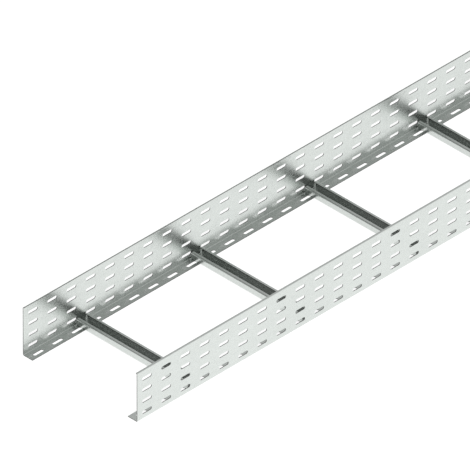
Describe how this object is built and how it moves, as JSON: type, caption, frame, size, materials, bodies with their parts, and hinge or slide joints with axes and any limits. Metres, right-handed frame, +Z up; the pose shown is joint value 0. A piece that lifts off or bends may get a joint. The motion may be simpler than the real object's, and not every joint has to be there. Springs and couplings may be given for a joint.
{
  "type": "cable ladder section",
  "caption": "Straight cable ladder: two slotted galvanised side rails with inward bottom flanges, joined by open C-section rungs that carry the cables",
  "frame": {"origin": "the middle of the ladder's footprint, level with the undersides of the side rails' flanges, on which it stands", "axes": "+X along the ladder, from rung 1 to rung 10; +Y across it, towards the right side rail; +Z up"},
  "size_m": [3, 0.3, 0.11],
  "materials": {
    "rail_steel": "galvanised, dull light grey",
    "rung_steel": "galvanised, dull grey"
  },
  "bodies": {
    "root": {"side_rail_left": "rail_steel", "side_rail_right": "rail_steel", "rung_1": "rung_steel", "rung_2": "rung_steel", "rung_3": "rung_steel", "rung_4": "rung_steel", "rung_5": "rung_steel", "rung_6": "rung_steel", "rung_7": "rung_steel", "rung_8": "rung_steel", "rung_9": "rung_steel", "rung_10": "rung_steel"}
  },
  "joints": []
}
